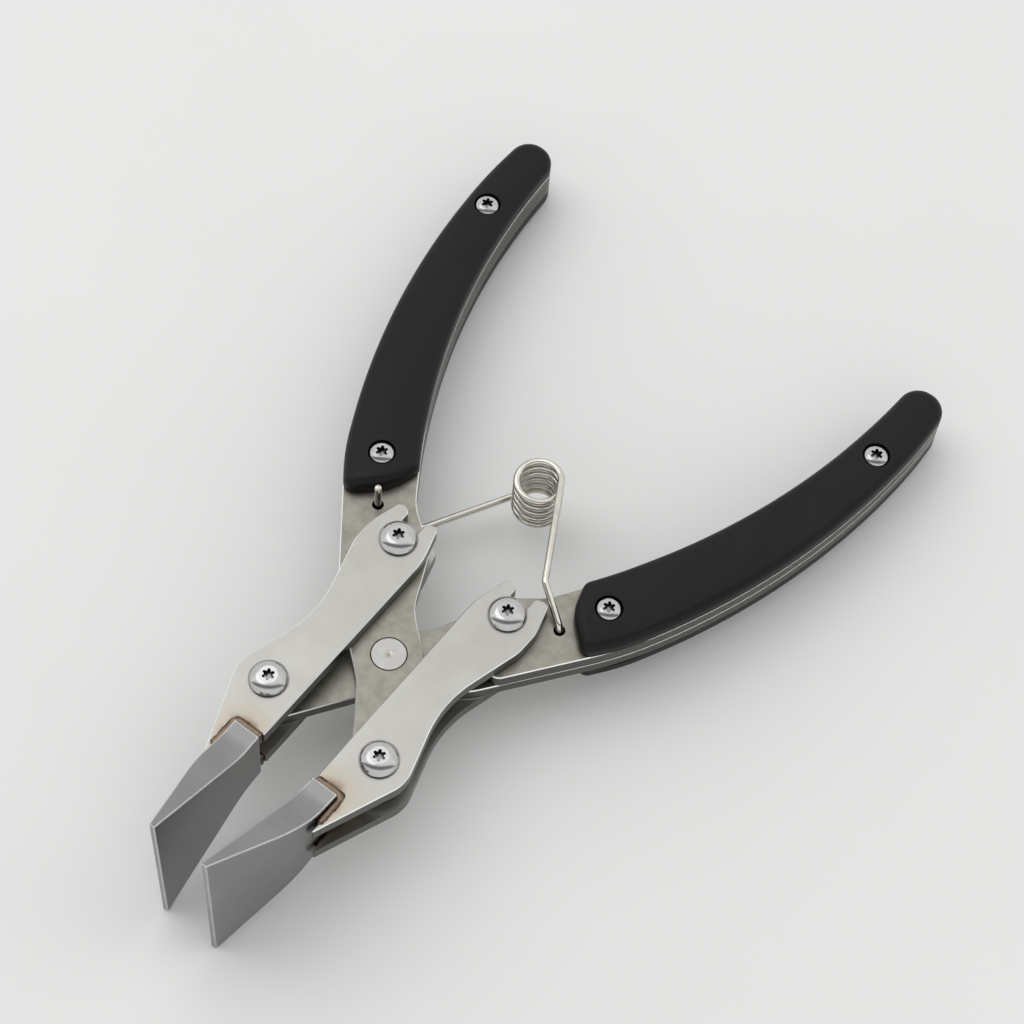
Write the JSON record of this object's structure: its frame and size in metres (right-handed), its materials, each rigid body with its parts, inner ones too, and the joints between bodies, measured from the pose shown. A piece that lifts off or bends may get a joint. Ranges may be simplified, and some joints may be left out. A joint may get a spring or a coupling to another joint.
{
  "type": "parallel-jaw pliers",
  "caption": "Parallel-action pliers with wide flared vertical noses, dark wooden handle scales and a coiled opening spring.",
  "frame": {"origin": "on the central pivot's axis, half way through the stack of plates", "axes": "+Z along the central pivot, out of the face with the screw sockets; +Y towards the handles, so the jaws point to -Y; +X towards the handle whose lever lies in the lower layer"},
  "size_m": [0.1152, 0.1838, 0.0412],
  "materials": {
    "jaw_steel": "satin stainless plate with broken edges",
    "lever_steel": "satin steel plate, slightly mottled",
    "ground_steel": "finely ground steel",
    "weld_bead": "heat-tinted weld bead",
    "polished_screw": "polished stainless",
    "rivet_steel": "turned and brushed",
    "spring_wire": "bright spring wire",
    "ebony": "oiled near-black hardwood, satin"
  },
  "bodies": {
    "left_handle": {"left_lever": "lever_steel", "left_filler": "lever_steel", "left_scale_top": "ebony", "left_scale_bottom": "ebony", "left_handle_screws": "polished_screw", "left_handle_nuts": "polished_screw", "pivot_rivet": "rivet_steel", "left_guide_screw": "polished_screw", "left_guide_sleeve": "polished_screw", "right_jaw_pivot_screw": "polished_screw", "right_jaw_pivot_sleeve": "polished_screw", "right_jaw_pivot_spacer": "lever_steel"},
    "right_handle": {"right_lever": "lever_steel", "right_filler": "lever_steel", "right_scale_top": "ebony", "right_scale_bottom": "ebony", "right_handle_screws": "polished_screw", "right_handle_nuts": "polished_screw", "right_guide_screw": "polished_screw", "right_guide_sleeve": "polished_screw", "left_jaw_pivot_screw": "polished_screw", "left_jaw_pivot_sleeve": "polished_screw", "left_jaw_pivot_spacer": "lever_steel"},
    "right_jaw": {"right_jaw_top_plate": "jaw_steel", "right_jaw_bottom_plate": "jaw_steel", "right_nose": "ground_steel", "right_jaw_welds": "weld_bead"},
    "left_jaw": {"left_jaw_top_plate": "jaw_steel", "left_jaw_bottom_plate": "jaw_steel", "left_nose": "ground_steel", "left_jaw_welds": "weld_bead"},
    "spring_lower_half": {"spring_lower": "spring_wire"},
    "spring_upper_half": {"spring_upper": "spring_wire"}
  },
  "joints": [
    {"name": "handle_squeeze", "type": "hinge", "parent": "left_handle", "child": "right_handle", "pos_m": [0, 0, 0], "axis": [0, 0, 1], "range_deg": [0, 29], "stiffness_Nm_per_rad": 0.26, "springref_deg": -20.05},
    {"name": "right_jaw_turn", "type": "hinge", "parent": "left_handle", "child": "right_jaw", "pos_m": [0.01409, -0.02065, 0], "axis": [0, 0, 1], "range_deg": [0, 14.5]},
    {"name": "left_jaw_turn", "type": "hinge", "parent": "right_handle", "child": "left_jaw", "pos_m": [-0.01409, -0.02065, 0], "axis": [0, 0, 1], "range_deg": [-14.5, 0]},
    {"name": "spring_arm_turn", "type": "hinge", "parent": "left_handle", "child": "spring_lower_half", "pos_m": [-0.02364, 0.02586, 0], "axis": [0, 0, 1], "range_deg": [0, 30.34]},
    {"name": "spring_coil_wind", "type": "hinge", "parent": "spring_lower_half", "child": "spring_upper_half", "pos_m": [0, 0.05, 0], "axis": [0, 0, 1], "range_deg": [-31.18, 0]}
  ],
  "couplings": [
    {"joint": "right_jaw_turn", "follows": "handle_squeeze", "ratio": 0.5},
    {"joint": "left_jaw_turn", "follows": "handle_squeeze", "ratio": -0.5},
    {"joint": "spring_arm_turn", "follows": "handle_squeeze", "ratio": 1.029},
    {"joint": "spring_coil_wind", "follows": "handle_squeeze", "ratio": -1.058}
  ]
}
